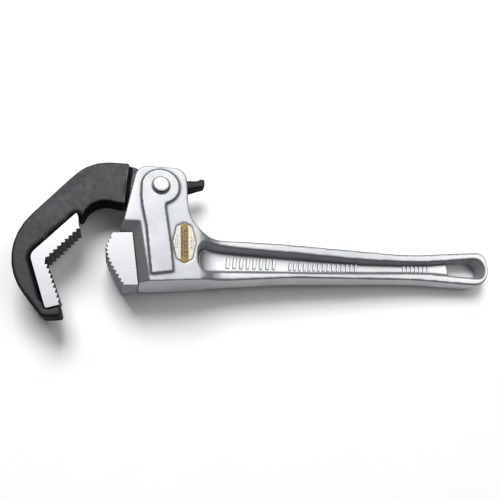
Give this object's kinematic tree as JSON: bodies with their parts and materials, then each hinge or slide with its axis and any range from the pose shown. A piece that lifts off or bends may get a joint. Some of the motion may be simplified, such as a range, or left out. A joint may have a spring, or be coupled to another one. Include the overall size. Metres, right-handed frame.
{
  "type": "pipe wrench",
  "caption": "One-hand pipe wrench with an aluminium I-beam handle, a forked head and a spring-closed swinging hook jaw with a toothed V insert facing a curved toothed heel jaw.",
  "frame": {"origin": "under the middle of the wrench's box, on the plane that the back bosses rest on", "axes": "+X along the handle to its hanging end, +Y towards the back of the hook, +Z out of the front face"},
  "size_m": [0.4571, 0.1413, 0.052],
  "materials": {
    "cast_aluminium": "satin cast",
    "black_forging": "black satin",
    "jaw_steel": "machined",
    "bright_steel": "zinc plated",
    "plain_steel": "oiled",
    "black_screw": "black oxide",
    "bronze": "sintered",
    "label_foil": "printed foil"
  },
  "bodies": {
    "handle_body": {"handle": "cast_aluminium", "heel_jaw": "jaw_steel", "heel_jaw_pin_upper": "plain_steel", "heel_jaw_pin_lower": "plain_steel", "pivot_pin": "bright_steel", "thrust_washer_front": "bronze", "thrust_washer_back": "bronze", "pivot_washer_front": "black_screw", "pivot_washer_back": "bright_steel", "pivot_retaining_ring": "plain_steel", "return_spring": "plain_steel", "spring_seat": "plain_steel", "label_front": "label_foil", "label_back": "label_foil"},
    "hook_body": {"hook_jaw": "black_forging", "hook_insert": "jaw_steel", "insert_screw_upper": "black_screw", "insert_screw_lower": "black_screw", "pivot_bush": "bronze"},
    "plunger_body": {"spring_plunger": "plain_steel"}
  },
  "joints": [
    {"name": "hook_pivot", "type": "hinge", "parent": "handle_body", "child": "hook_body", "pos_m": [-0.11065, 0.0435, 0.024], "axis": [0, 0, 1], "range_deg": [-22, 20], "stiffness_Nm_per_rad": 0.25},
    {"name": "plunger_slide", "type": "slide", "parent": "handle_body", "child": "plunger_body", "axis": [0, 1, 0], "range_m": [-0.0031, 0.0028], "deforming": ["return_spring"]}
  ],
  "couplings": [
    {"joint": "plunger_slide", "follows": "hook_pivot", "m_per_rad": 0.008}
  ]
}
